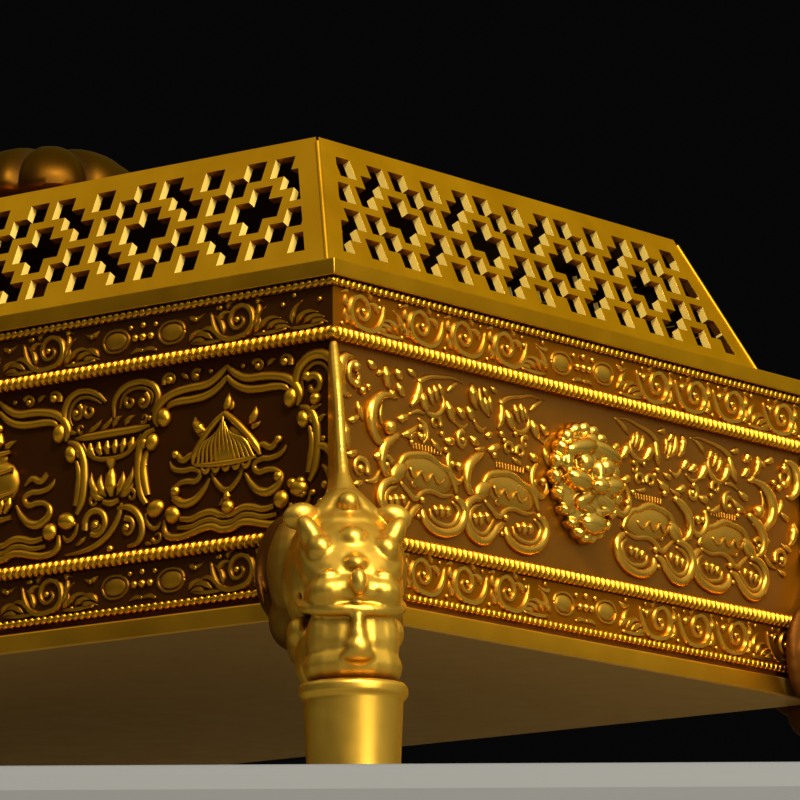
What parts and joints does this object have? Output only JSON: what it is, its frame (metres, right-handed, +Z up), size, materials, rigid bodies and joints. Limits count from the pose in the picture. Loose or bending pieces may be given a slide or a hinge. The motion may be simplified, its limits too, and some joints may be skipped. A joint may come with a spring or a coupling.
{
  "type": "incense burner",
  "caption": "Long copper incense burner on beast-head legs, with relief walls between twisted ropes and a hipped lattice lid that lifts off a removable liner pan.",
  "frame": {"origin": "on the ground under the middle of the box", "axes": "+X along the long side, +Y to the back, +Z up"},
  "size_m": [0.2154, 0.1384, 0.1112],
  "materials": {
    "body_gilt": "satin gilt copper",
    "relief_gilt": "gilt relief over a dark oxidised ground",
    "rope_gilt": "burnished gilt rope",
    "mask_gilt": "polished gilt",
    "leg_gilt": "smooth cast gilt copper",
    "lid_gilt": "fine brushed satin gilt copper",
    "knob_gilt": "satin gilt copper",
    "bare_copper": "plain copper with light tarnish",
    "rack_brass": "plain rolled brass"
  },
  "bodies": {
    "box": {"base_plate": "body_gilt", "wall_front": "relief_gilt", "wall_back": "relief_gilt", "wall_right": "relief_gilt", "wall_left": "relief_gilt", "foot_rope": "rope_gilt", "lower_frieze": "relief_gilt", "lower_rope": "rope_gilt", "upper_rope": "rope_gilt", "upper_frieze": "relief_gilt", "rim_rope": "rope_gilt", "rim_frame": "body_gilt", "mask_right": "mask_gilt", "mask_left": "mask_gilt", "mask_washer_right": "bare_copper", "mask_washer_left": "bare_copper", "corner_post_front_right": "body_gilt", "leg_head_front_right": "leg_gilt", "leg_shaft_front_right": "leg_gilt", "leg_screw_front_right": "bare_copper", "corner_post_back_right": "body_gilt", "leg_head_back_right": "leg_gilt", "leg_shaft_back_right": "leg_gilt", "leg_screw_back_right": "bare_copper", "corner_post_back_left": "body_gilt", "leg_head_back_left": "leg_gilt", "leg_shaft_back_left": "leg_gilt", "leg_screw_back_left": "bare_copper", "corner_post_front_left": "body_gilt", "leg_head_front_left": "leg_gilt", "leg_shaft_front_left": "leg_gilt", "leg_screw_front_left": "bare_copper"},
    "liner": {"liner_pan": "bare_copper", "incense_rack": "rack_brass"},
    "lid": {"lid_frame": "lid_gilt", "lattice_front": "lid_gilt", "lattice_back": "lid_gilt", "lattice_right": "lid_gilt", "lattice_left": "lid_gilt", "lid_top_plate": "lid_gilt", "knob": "knob_gilt", "knob_stem": "knob_gilt", "knob_nut": "bare_copper"}
  },
  "joints": [
    {"name": "lid_lift", "type": "slide", "parent": "box", "child": "lid", "axis": [0, 0, 1], "range_m": [0, 0.08]},
    {"name": "liner_lift", "type": "slide", "parent": "box", "child": "liner", "axis": [0, 0, 1], "range_m": [0, 0.04]}
  ],
  "couplings": [
    {"joint": "liner_lift", "follows": "lid_lift", "ratio": 0.5}
  ]
}
